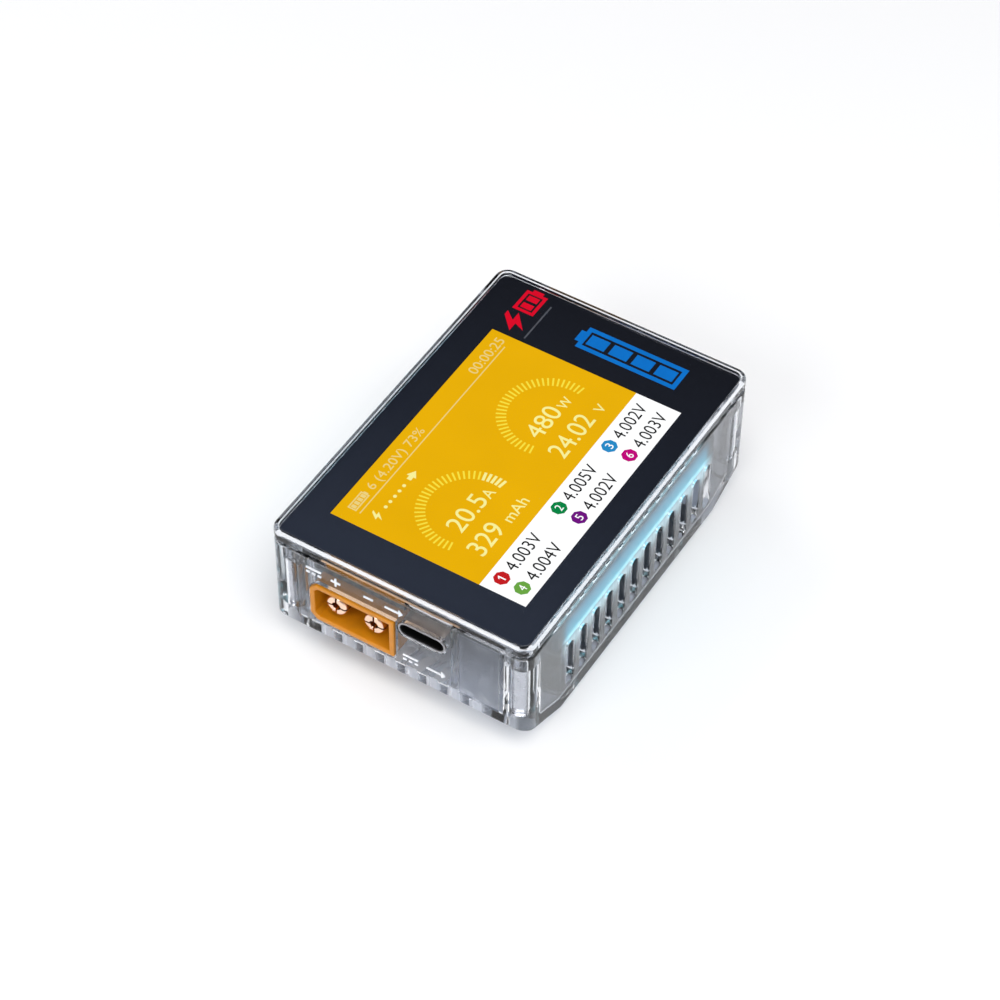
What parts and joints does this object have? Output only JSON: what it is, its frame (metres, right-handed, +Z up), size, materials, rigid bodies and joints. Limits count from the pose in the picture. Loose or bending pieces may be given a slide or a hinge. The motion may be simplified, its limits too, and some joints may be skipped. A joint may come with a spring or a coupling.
{
  "type": "balance battery charger",
  "caption": "Pocket balance charger in a clear case, with a colour touch display, supply and battery sockets, lit side vents and a cooling fan.",
  "frame": {"origin": "on the surface that the charger stands on, under the middle of its case", "axes": "+X along the case from the supply end to the battery end, +Y towards the top of the display's picture, +Z up out of the display"},
  "size_m": [0.0716, 0.0486, 0.0256],
  "materials": {
    "clear_plastic": "clear moulded polycarbonate, polished",
    "cover_glass": "cover glass printed blue-black behind",
    "display": "lit colour display, amber field",
    "steel": "nickel-plated steel",
    "orange_nylon": "moulded orange nylon",
    "gold_plate": "gold-plated brass",
    "white_nylon": "natural nylon",
    "thermal_pad": "soft silicone pad",
    "black_plastic": "moulded black plastic",
    "circuit_board": "blue-black solder mask",
    "aluminium": "extruded aluminium",
    "ferrite": "pressed iron powder",
    "copper": "lacquered copper",
    "light_guide": "frosted light guide, lit cyan",
    "rubber": "matte rubber",
    "lead_sheath": "soft vinyl sheath",
    "flex_film": "amber polyimide film"
  },
  "bodies": {
    "charger": {"lower_shell": "clear_plastic", "bezel_frame": "clear_plastic", "touch_glass": "cover_glass", "lcd_frame": "steel", "lcd_cell": "display", "lcd_flex": "flex_film", "display_board": "circuit_board", "mcu_chip": "black_plastic", "board_header": "black_plastic", "main_board": "circuit_board", "heat_sink": "aluminium", "thermal_pad": "thermal_pad", "power_switch_1": "black_plastic", "power_switch_2": "black_plastic", "power_switch_3": "black_plastic", "power_switch_4": "black_plastic", "inductor_1": "ferrite", "inductor_2": "ferrite", "capacitor_1": "aluminium", "capacitor_2": "aluminium", "current_shunt": "copper", "buzzer": "black_plastic", "input_housing": "orange_nylon", "input_pin_positive": "gold_plate", "input_pin_negative": "gold_plate", "output_housing": "orange_nylon", "output_contact_positive": "gold_plate", "output_contact_negative": "gold_plate", "usb_shell": "steel", "usb_tongue": "black_plastic", "balance_housing": "white_nylon", "balance_pin_1": "gold_plate", "balance_pin_2": "gold_plate", "balance_pin_3": "gold_plate", "balance_pin_4": "gold_plate", "balance_pin_5": "gold_plate", "balance_pin_6": "gold_plate", "balance_pin_7": "gold_plate", "fan_frame": "black_plastic", "fan_bearing": "copper", "fan_stator": "copper", "fan_plug": "white_nylon", "fan_lead": "lead_sheath", "light_bar_front": "light_guide", "light_bar_rear": "light_guide", "lamp_strip_front": "white_nylon", "lamp_strip_rear": "white_nylon", "case_screw_1": "steel", "case_screw_2": "steel", "case_screw_3": "steel", "case_screw_4": "steel", "board_screw_1": "steel", "board_screw_2": "steel", "foot_1": "rubber", "foot_2": "rubber", "foot_3": "rubber", "foot_4": "rubber"},
    "fan": {"fan_rotor": "black_plastic", "fan_shaft": "steel"}
  },
  "joints": [
    {"name": "fan_spin", "type": "hinge", "parent": "charger", "child": "fan", "pos_m": [0, 0, 0.0056], "axis": [0, 0, 1], "continuous": true}
  ]
}
